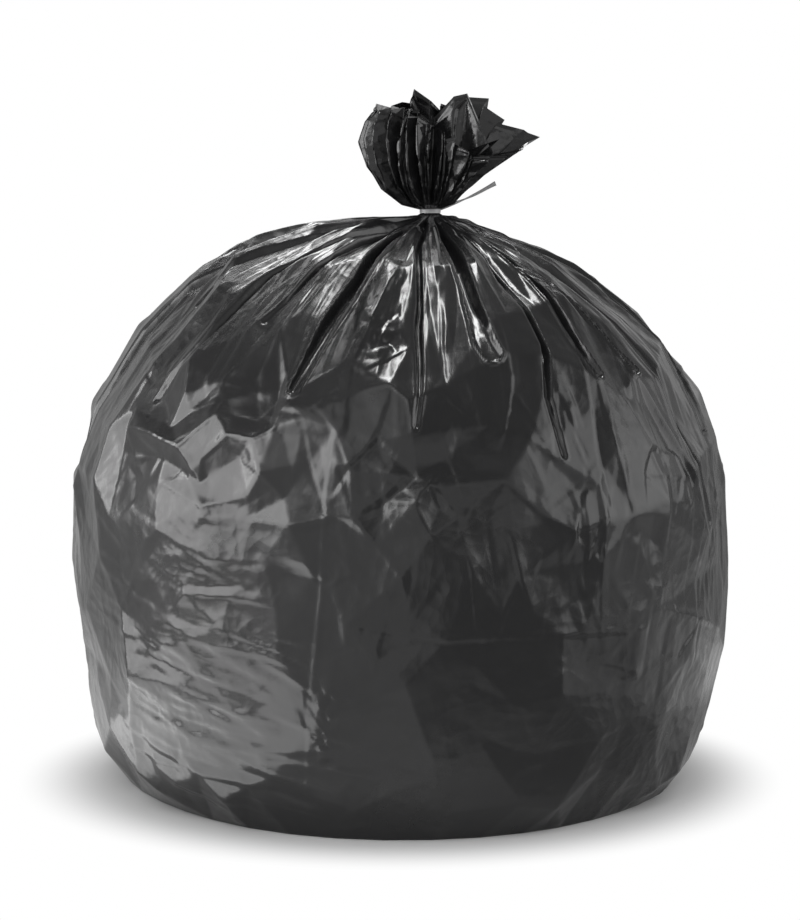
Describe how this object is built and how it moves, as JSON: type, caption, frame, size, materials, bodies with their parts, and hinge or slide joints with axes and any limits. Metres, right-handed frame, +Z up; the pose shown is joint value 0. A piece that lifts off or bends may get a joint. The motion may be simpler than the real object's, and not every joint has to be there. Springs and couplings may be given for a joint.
{
  "type": "full tied bin bag",
  "caption": "Full bin bag standing on a flat base, gathered at the neck by a strap tie with its ruffled mouth spread above.",
  "frame": {"origin": "middle of the base, on the floor", "axes": "+Z up through the bag; the front of the picture faces -Y; the mouth's horn points to +X"},
  "size_m": [0.5378, 0.5338, 0.5636],
  "materials": {
    "bag": "glossy thin black film with creases",
    "tie": "satin moulded plastic"
  },
  "bodies": {
    "root": {"bag": "bag", "tie": "tie"}
  },
  "joints": []
}
